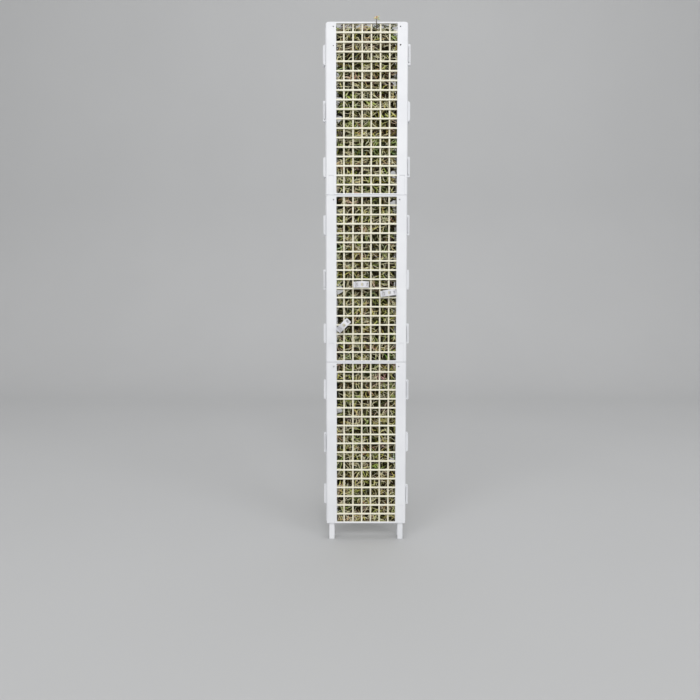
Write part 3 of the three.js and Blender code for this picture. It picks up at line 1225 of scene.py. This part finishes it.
def show_tubes(
    name: str, shell: Shell, colours: Array, material: Material, body: str, node: str | None = None
) -> None:
    """Puts tubes of moss into the scene, each in its own colour.

    Args:
        name: Name of the piece.
        shell: The tubes, all with the same number of points.
        colours: One colour for each tube.
        material: A finish that reads the colours.
        body: CAD body that the piece moves with.
        node: CAD node that it stands for, if it stands for one.
    """
    mesh = shell.mesh(name)
    mesh.shade_smooth()
    points = np.repeat(colours, len(shell.points) // len(colours), axis=0)
    rgba = np.hstack([points, np.ones((len(points), 1))]).astype(np.float32)
    layer = mesh.attributes.new(TINT_LAYER, "FLOAT_COLOR", "POINT")
    layer.data.foreach_set("color", rgba.ravel())
    show(mesh, material, body, node, flat_edges=False)


@dataclass
class MossFill:
    """Moss of one module: a dark matted inside, and strands over its front, back and ends."""

    stack: Stack
    module: str
    seed: int
    clips: list[RingClip]
    thin: list[Span]
    headroom: float = 0.0
    half_width: float = 29.3
    half_depth: float = 5.45
    mat_half_width: float = 27.6
    mat_half_depth: float = 3.5
    mat_round: float = 2.2
    mat_end: float = 1.2
    mat_sides: int = 104
    mat_levels: int = 112
    mat_swells: tuple[Span, ...] = ((0.55, 8.0), (0.3, 3.0))
    mat_edge_swell: Span = (0.9, 13.0)
    thin_dip: Span = (7.0, 3.4)
    thin_radius: float = 2.7
    hollow_y: float = -1.1
    hollow_room: Span = (0.9, 0.8)
    face_strands: int = 2000
    end_strands: int = 150
    path_points: int = 6
    curl: float = 1.1
    waver: float = 0.3
    lift: float = 0.45
    lumps: tuple[float, ...] = (0.1, 0.28, 0.1)
    taper: float = 0.72
    patch_size: float = 16.0
    patch_pull: float = 0.5
    chance: float = 0.6
    lean: Colour = (0.11, -0.11, 0.09)
    # Painted shade and highlight by depth: colour factors from the outermost strands to the deepest.
    painted_shade_depths: Span = (0.2, 0.8)
    painted_shade_levels: Span = (2.08, 0.235)
    shade_spread: float = 0.34
    palest: Colour = (0.88, 0.84, 0.58)

    @property
    def base(self) -> Array:
        """Where the lower end of the module is."""
        return self.stack.base(self.module)

    def beds(self) -> list[Bed]:
        """The sides of the moss that strands lie on.

        Returns:
            Front, back, upper and lower side.
        """
        height = self.stack.module_height / 2
        east, north, up = np.eye(3)
        face = ((self.half_width, height - 0.5), self.half_depth, self.face_strands)
        end, top = (self.half_width, self.half_depth - 0.3), height - 0.2
        return [
            Bed(np.array([east, up, -north]), *face),
            Bed(np.array([-east, up, north]), *face),
            Bed(np.array([east, north, up]), end, top - self.headroom, self.end_strands),
            Bed(np.array([east, -north, -up]), end, top, self.end_strands),
        ]

    def in_hollow(self, points: Array, room: float) -> Array:
        """Which points are in the hollow that a clip's hook presses into the moss.

        Args:
            points: Positions, with X, Y and Z last.
            room: Width of the gap round the hook.

        Returns:
            True or false for each point.
        """
        inside = np.zeros(points.shape[:-1], bool)
        for clip in self.clips:
            x, y, z = np.moveaxis((points - clip.centre) @ clip.matrix, -1, 0)
            inside |= (abs(z) < clip.hook_height / 2 + room) & (np.hypot(x, y) < clip.radius + room)
        return inside

    def mat(self, rng: np.random.Generator) -> Shell:
        """The matted inside: a rounded outline carried up the module, let out and in by ripples.

        Where the moss is thin, the edge is drawn in by a bell curve of the height.

        Args:
            rng: Source of the ripples.

        Returns:
            The closed mat.
        """
        corners = rectangle(centred(2 * self.mat_half_width), centred(2 * self.mat_half_depth))
        coarse = rounded(corners, self.mat_round, 6)
        closed = np.vstack([coarse, coarse[:1]])
        way = np.concatenate([[0], np.cumsum(np.linalg.norm(np.diff(closed, axis=0), axis=1))])
        even = np.linspace(0, way[-1], self.mat_sides, endpoint=False)
        outline = np.stack([np.interp(even, way, axis) for axis in closed.T], axis=1)
        top = self.stack.module_height - self.mat_end - self.headroom
        points = np.empty((self.mat_levels, self.mat_sides, 3))
        points[..., :2] = outline
        points[..., 2] = np.linspace(self.mat_end, top, self.mat_levels)[:, None]
        push = sum(size * ripple(rng, points, length) for size, length in self.mat_swells)
        points[..., :2] += push[..., None] * outward(outline)
        x, y, z = np.moveaxis(points, -1, 0)
        edge = np.clip(abs(x) / self.mat_half_width, 0, 1) ** 6
        size, length = self.mat_edge_swell
        x += np.sign(x) * edge * size * ripple(rng, points * [0, 0, 1], length)
        depth, height = self.thin_dip
        for thin_x, thin_z in self.thin:
            dip = np.exp(-(((z - thin_z) / height) ** 2)) * edge * (x * thin_x > 0)
            x -= math.copysign(depth, thin_x) * dip
        pressed = self.in_hollow(points + self.base, self.hollow_room[0]) & (y < 0)
        y[pressed] = np.maximum(y[pressed], self.hollow_y)
        return Shell.lofted((points + self.base)[None])

    def strands(self, rng: np.random.Generator, bed: Bed) -> list[Array]:
        """Paths of the strands on one side of the moss.

        A strand's heading turns steadily and wavers, and its path is the running sum of short steps
        along the heading, moved so that its middle is where the strand lies.

        Args:
            rng: Source of the places, headings and sizes.
            bed: The side that they lie on.

        Returns:
            Paths, radii, flatness, kind and depth of the strands that are kept.
        """
        kinds, column = list(StrandKind), (bed.count, 1)
        shares = np.array([kind.value[0] for kind in kinds])
        kind = rng.choice(len(kinds), bed.count, p=shares / shares.sum())
        spans = np.array([kind.value[1:] for kind in kinds])[kind]
        length, radius, depth = rng.uniform(spans[..., 0], spans[..., 1]).T[..., None]
        middle = rng.uniform(-1, 1, (bed.count, 2)) * bed.half
        share = np.linspace(-0.5, 0.5, self.path_points)
        heading = rng.uniform(0, 2 * math.pi, column)
        heading = heading + rng.normal(0, self.curl, column) * share
        heading = heading + self.waver * np.sin(9 * share + rng.uniform(0, 6, column))
        step = length / (self.path_points - 1)
        flat_way = np.stack([np.cos(heading) * step, np.sin(heading) * step], axis=-1)
        place = np.cumsum(flat_way, axis=1)
        place += (middle - place.mean(1))[:, None]
        limit = (bed.half - radius)[:, None]
        lift = self.lift * np.sin(5 * share + rng.uniform(0, 6, column))
        out = np.minimum(bed.top - depth - radius + lift, bed.top - radius)
        local = np.concatenate([np.clip(place, -limit, limit), out[..., None]], axis=-1) @ bed.axes
        local += [0, 0, self.stack.module_height / 2]
        bumps = 1 + np.array(self.lumps)[kind][:, None] * rng.uniform(-1, 1, out.shape)
        radii = radius * bumps * (1 - self.taper * (2 * abs(share)) ** 3)
        flat = np.where(kind == 0, 1.0, rng.uniform(0.5, 0.9, bed.count))
        keep = ~self.in_hollow(local + self.base, self.hollow_room[1]).any(1)
        for x, z in self.thin:
            keep &= (np.hypot(local[..., 0] - x, local[..., 2] - z) > self.thin_radius).all(1)
        return [part[keep] for part in (local + self.base, radii, flat, kind, depth[:, 0])]

    def colours(self, rng: np.random.Generator, paths: Array, kind: Array, depth: Array) -> Array:
        """Colour of each strand: the tint with the highest score at its place, made darker further in
        and lighter at the outside by painted shade and highlight, partly also for dirt deeper in.

        A tint's score is how common it is in the kind of strand, plus a patchy field and chance. All
        tints lean to pink in some places and to olive in others.

        Args:
            rng: Source of the patches and of chance.
            paths: Points of each strand.
            kind: Kind of each strand, by number.
            depth: How far in each strand lies.

        Returns:
            Red, green and blue for each strand.
        """
        tints, middle = list(Tint), paths.mean(1)
        common = np.array([tint.value[1] for tint in tints])[:, kind].T
        patches = np.stack([ripple(rng, middle, self.patch_size) for _ in tints], axis=1)
        score = common + self.patch_pull * patches + self.chance * rng.gumbel(size=common.shape)
        chosen = np.array([tint.value[0] for tint in tints])[score.argmax(1)]
        lean = ripple(rng, middle, self.patch_size)[:, None] * self.lean
        # Painted shade: strands further in are darkened and the outermost lightened, partly also for
        # dirt; the lognormal adds random tone.
        painted_shade_and_tone = np.interp(depth, self.painted_shade_depths, self.painted_shade_levels)
        painted_shade_and_tone = painted_shade_and_tone * rng.lognormal(0, self.shade_spread, len(paths))
        return np.minimum(chosen * (1 + lean) * painted_shade_and_tone[:, None], self.palest)

    def dress(self, inside: Material, strand: Material) -> None:
        """Builds the mat and the strands, and puts them into the module.

        Args:
            inside: Finish of the mat.
            strand: Finish of the strands.
        """
        rng = np.random.default_rng(self.seed)
        body, node = f"{self.module}_back", f"{self.module}_moss_core"
        mat = self.mat(rng).mesh(f"{self.module}_moss_mat")
        mat.shade_smooth()
        show(mat, inside, body, node, flat_edges=False)
        shells, colours = [], []
        for bed in self.beds():
            paths, radii, flat, kind, depth = self.strands(rng, bed)
            shells.append(tubes(paths, radii, flat, bed.axes[2]))
            colours.append(self.colours(rng, paths, kind, depth))
        name, shell = f"{self.module}_moss_strands", Shell.joined(shells)
        show_tubes(name, shell, np.vstack(colours), strand, body, node)


@dataclass
class Sprig:
    """A dry sprig that has worked its way out of the top row and stands up in front of the rim."""

    stack: Stack
    x: float = 9.2
    rise: Span = (-7.0, 9.6)
    bend_height: float = -4.4
    bend_rate: float = 2.2
    set_back: float = 2.2
    step_out: float = 3.3
    stem_radius: float = 0.42
    leaf_radius: float = 0.8
    leaf_flatness: float = 0.5
    stem_colour: Colour = (0.09, 0.06, 0.03)
    leaves: tuple[tuple[float, float, Colour], ...] = (
        (-0.7, 3.2, (0.74, 0.64, 0.40)),
        (0.05, 1.9, (0.60, 0.22, 0.10)),
        (0.8, 4.0, (0.70, 0.72, 0.46)),
        (1.8, 3.2, (0.62, 0.66, 0.38)),
        (-1.8, 3.0, (0.70, 0.64, 0.38)),
        (-1.25, 2.8, (0.72, 0.56, 0.30)),
    )

    def stem(self, share: Array) -> Array:
        """Path of the stem: out of the hole in a smooth step, then up past the rim.

        Args:
            share: Way along the stem, from 0 to 1.

        Returns:
            X, Y and Z of each point, from the upper end of the module.
        """
        root, length = self.rise
        z = root + length * share
        bend = 1 / (1 + np.exp(-(z - self.bend_height) * self.bend_rate))
        y = self.stack.face_y + self.set_back - self.step_out * bend
        return np.stack([self.x - 0.3 * np.sin(3 * share), y, z], axis=1)

    def leaf_paths(self, share: Array, root: Array) -> Array:
        """Paths of the leaves: each leans from upright by its own angle, and its tip bends down.

        Args:
            share: Way along a leaf, from 0 to 1.
            root: Where the leaves start.

        Returns:
            X, Y and Z of each point of each leaf.
        """
        lean, size = np.array([leaf[:2] for leaf in self.leaves]).T[..., None]
        reach = share * size
        sway = 0.4 * np.cos(2.3 * np.arange(len(self.leaves)))[:, None]
        rise = reach * np.cos(lean) - 0.05 * reach**2
        return root + np.stack([reach * np.sin(lean), reach * sway, rise], axis=-1)

    def dress(self, material: Material) -> None:
        """Builds the stem and its leaves as tapered tubes and puts them on the top module.

        Args:
            material: Finish of the strands.
        """
        share, count = np.linspace(0, 1, 9), len(self.leaves)
        stem = self.stem(share)
        paths = np.concatenate([stem[None], self.leaf_paths(share, stem[-1])])
        paths += self.stack.base("top") + [0, 0, self.stack.module_height]
        leaf = self.leaf_radius * np.sin(math.pi * (0.2 + 0.76 * share))
        radii = np.vstack([self.stem_radius * (1 - 0.3 * share), np.tile(leaf, (count, 1))])
        flat = np.array([1.0] + [self.leaf_flatness] * count)
        shell = tubes(paths, radii, flat, np.array([0, -1.0, 0]), 6)
        colours = np.array([self.stem_colour] + [leaf[2] for leaf in self.leaves])
        show_tubes("top_moss_sprig", shell, colours, material, "top_front")


@dataclass
class Crumbs:
    """Two small dark flat specks on the top module's border."""

    stack: Stack
    places: tuple[tuple[float, float, float], ...] = ((31.7, 138.9, 0.75), (-31.6, 138.2, 0.45))
    proud: float = 0.12
    flatness: float = 0.5
    colour: Colour = (0.06, 0.055, 0.045)

    def dress(self, material: Material) -> None:
        """Builds the specks as short flat tubes and puts them on the border.

        Args:
            material: Finish of the strands.
        """
        share, count = np.linspace(-1, 1, 7), len(self.places)
        x, z, radius = np.array(self.places).T[..., None]
        lean = np.linspace(0.4, 2.2, count)[:, None]
        reach = radius * share
        y = np.full_like(reach, self.stack.face_y - self.proud)
        across, along = x + reach * np.cos(lean), z + 1.3 * reach * np.sin(lean)
        paths = np.stack([across, y, along], axis=-1) + self.stack.base("top")
        radii = 0.8 * radius * np.sqrt(1.05 - share**2)
        shell = tubes(paths, radii, np.full(count, self.flatness), np.array([0, -1.0, 0]), 8)
        colours = np.tile(self.colour, (count, 1))
        show_tubes("top_border_crumbs", shell, colours, material, "top_front")


# Studio


@dataclass
class Lamp:
    """A large soft lamp that looks at the middle of the object."""

    name: str
    place: tuple[float, float, float]
    size: float
    watts: float

    def build(self, target: Vector) -> None:
        """Adds the lamp to the scene.

        Args:
            target: Where it looks.
        """
        data = bpy.data.lights.new(self.name, "AREA")
        data.shape = "DISK"
        data.size = self.size
        data.energy = self.watts
        lamp = bpy.data.objects.new(self.name, data)
        lamp.location = self.place
        lamp.rotation_euler = (target - lamp.location).to_track_quat("-Z", "Y").to_euler()
        bpy.context.scene.collection.objects.link(lamp)


@dataclass
class Studio:
    """Pale sweep, soft lamps and the camera, in metres."""

    target: Vector = field(default_factory=lambda: Vector((0, 0, 0.25)))
    camera_place: tuple[float, float, float] = (-0.01586, -0.519, 0.21831)
    camera_pitch: float = 3.289
    lens: float = 27.1
    half_width: float = 16.0
    front: float = -16.0
    back: float = 1.6
    cove: float = 0.7
    wall_height: float = 3.6
    sky: Colour = (1.0, 1.0, 1.0)
    sky_strength: float = 0.40
    lamps: tuple[Lamp, ...] = (
        Lamp("key", (-1.5, -2.2, 2.2), 1.6, 18.5),
        Lamp("fill", (1.8, -2.0, 1.7), 1.5, 15.5),
        Lamp("front", (0.1, -2.8, 1.9), 1.8, 36.0),
        Lamp("top", (0.2, 0.1, 2.4), 1.6, 9.0),
    )

    def sweep(self, material: Material) -> None:
        """Floor that curves up into a wall: an L with a quarter circle, carried along X.

        Args:
            material: Finish of the floor and the wall.
        """
        bend, cove = np.linspace(-math.pi / 2, 0, 17), self.cove
        y = np.concatenate([[self.front], self.back - cove + cove * np.cos(bend), [self.back]])
        z = np.concatenate([[0], cove + cove * np.sin(bend), [self.wall_height]])
        x = np.linspace(-self.half_width, self.half_width, 3)
        points = np.stack(np.broadcast_arrays(x[:, None], y, z), axis=-1)
        here = np.arange(points[..., 0].size).reshape(points.shape[:2])
        quads = np.stack([here[:-1, :-1], here[1:, :-1], here[1:, 1:], here[:-1, 1:]], axis=-1)
        mesh = bpy.data.meshes.new("sweep")
        mesh.from_pydata(points.reshape(-1, 3).tolist(), [], quads.reshape(-1, 4).tolist())
        mesh.shade_smooth()
        mesh.materials.append(material)
        floor = bpy.data.objects.new("sweep", mesh)
        bpy.context.scene.collection.objects.link(floor)

    def build(self, finish: FloorFinish) -> None:
        """Makes the sweep, the light and the camera.

        Args:
            finish: Finish of the floor and the wall.
        """
        scene = bpy.context.scene
        scene.view_settings.view_transform = "Standard"
        self.sweep(finish.material())
        world = bpy.data.worlds.new("soft_sky")
        world.use_nodes = True
        sky = world.node_tree.nodes["Background"]
        sky.inputs["Color"].default_value = (*self.sky, 1.0)
        sky.inputs["Strength"].default_value = self.sky_strength
        scene.world = world
        for lamp in self.lamps:
            lamp.build(self.target)
        data = bpy.data.cameras.new("camera")
        data.lens = self.lens
        data.clip_start = 0.01
        camera = bpy.data.objects.new("camera", data)
        camera.location = self.camera_place
        camera.rotation_euler = (math.radians(90 - self.camera_pitch), 0, 0)
        scene.collection.objects.link(camera)
        scene.camera = camera


# The third colour of each plastic is the brown of its dirt specks, and of its tint on set-back surfaces
# that is partly painted shade and moss reflection.
WHITE = PlasticFinish(
    "white_moulding", (0.84, 0.85, 0.875), (0.80, 0.81, 0.84), (0.50, 0.44, 0.33), 0.42,
)
CREAM = PlasticFinish(
    "cream_moulding", (0.935, 0.91, 0.755), (0.88, 0.845, 0.69), (0.46, 0.39, 0.24), 0.46,
    dirt_and_shade_depth=1.6, dirt_and_shade_amount=0.9,
)
CLIP = PlasticFinish(
    "clip_moulding", (0.80, 0.80, 0.84), (0.74, 0.74, 0.78), (0.62, 0.58, 0.48), 0.34,
    dirt_and_shade_amount=0.0,
)
STRAND = StrandFinish("moss_strand")
INSIDE = MatFinish("moss_inside", (0.012, 0.010, 0.003), (0.05, 0.038, 0.012), (0.045, 0.045, 0.010))
PALE_FLOOR = FloorFinish("pale_floor", (0.57, 0.575, 0.58), (0.54, 0.545, 0.55))

FIRST_SEED = 11
TOP_HEADROOM = 3.8
THIN_PLACES = {
    "bottom": [(26.0, 61.0), (-26.2, 112.0)],
    "middle": [(26.2, 153.5), (-26.0, 70.0)],
    "top": [(26.0, 109.6), (-26.0, 92.0), (-26.3, 74.4), (26.3, 153.6), (26.2, 22.0)],
}


def main() -> None:
    """Builds the studio, then each sub-assembly in turn."""
    logging.basicConfig(level=logging.INFO, format="%(name)s: %(message)s")
    Studio().build(PALE_FLOOR)
    stack = Stack()
    HalfFrame(stack).dress(WHITE)
    GridPanel(stack).dress(CREAM)
    clips = [
        RingClip(stack, "clip_a", 3, 8),
        RingClip(stack, "clip_b", 6, 7, turn=-8.0),
        RingClip(stack, "clip_c", 1, 4, turn=-45.0, crossing=True),
    ]
    clip_plastic = CLIP.material()
    for clip in clips:
        clip.dress(clip_plastic)
    inside, strand = INSIDE.material(), STRAND.material()
    for seed, module in enumerate(stack.modules, start=FIRST_SEED):
        held = clips if module == "middle" else []
        headroom = TOP_HEADROOM if module == "top" else 0.0
        MossFill(stack, module, seed, held, THIN_PLACES[module], headroom).dress(inside, strand)
    Sprig(stack).dress(strand)
    Crumbs(stack).dress(strand)


if __name__ == "__main__":
    main()
